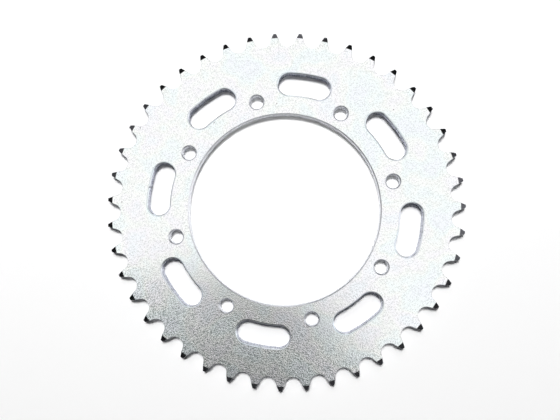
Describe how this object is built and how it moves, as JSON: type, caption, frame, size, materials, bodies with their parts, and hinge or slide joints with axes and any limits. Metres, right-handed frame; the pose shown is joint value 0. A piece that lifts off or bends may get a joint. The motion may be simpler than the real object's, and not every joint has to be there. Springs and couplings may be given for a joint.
{
  "type": "rear sprocket",
  "caption": "Flat zinc-plated steel chain sprocket with a bevelled toothed rim, a large hub bore, a ring of bolt holes and curved lightening slots.",
  "frame": {"origin": "on the hub axis, in the middle of the tooth width, which is the chain line", "axes": "+Z along the hub axis, out of the front face, away from the wheel; +X through the middle of one tooth"},
  "size_m": [0.2251, 0.2252, 0.006],
  "materials": {
    "zinc_plated_steel": "bright bluish zinc plating over fine-grained steel plate, satin"
  },
  "bodies": {
    "root": {"sprocket": "zinc_plated_steel"}
  },
  "joints": []
}
